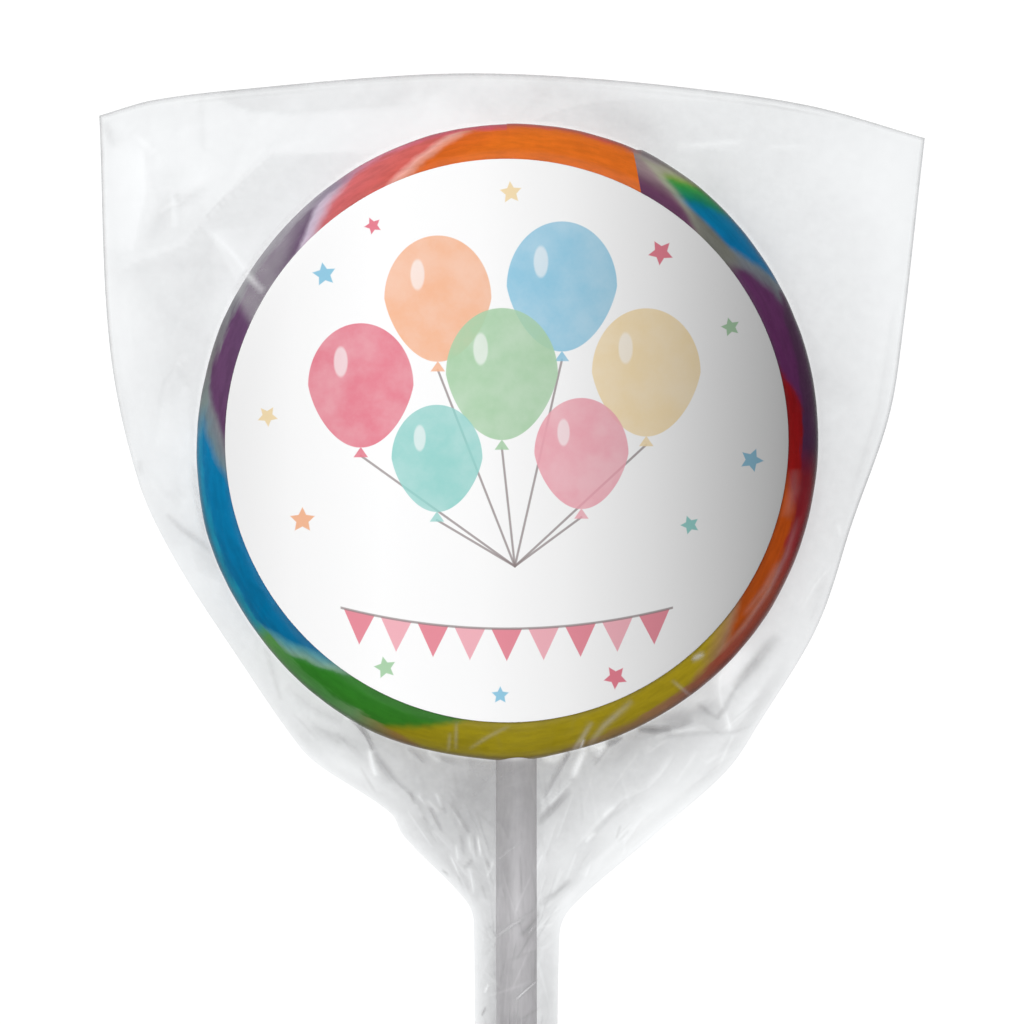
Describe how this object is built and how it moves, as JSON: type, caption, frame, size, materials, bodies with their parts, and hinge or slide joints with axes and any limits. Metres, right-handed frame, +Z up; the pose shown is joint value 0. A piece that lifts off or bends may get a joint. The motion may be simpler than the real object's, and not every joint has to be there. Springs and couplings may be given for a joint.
{
  "type": "swirl lollipop",
  "caption": "Flat round swirl lollipop lying on its back, on a round stick, in a clear bag gathered round the stick, with a round paper label.",
  "frame": {"origin": "below the candy's middle, on the flat spot of the bag that the lollipop rests on", "axes": "+Z up, out of the labelled side; +Y from the stick to the candy's top; +X to the right seen from above"},
  "size_m": [0.1027, 0.1843, 0.0113],
  "materials": {
    "candy": "glossy boiled sugar, swirled in rainbow colours",
    "stick": "matt rolled paper",
    "film": "clear crisp film, glossy and creased",
    "label": "satin paper, printed"
  },
  "bodies": {
    "root": {"candy": "candy", "stick": "stick", "bag": "film", "label": "label"}
  },
  "joints": []
}
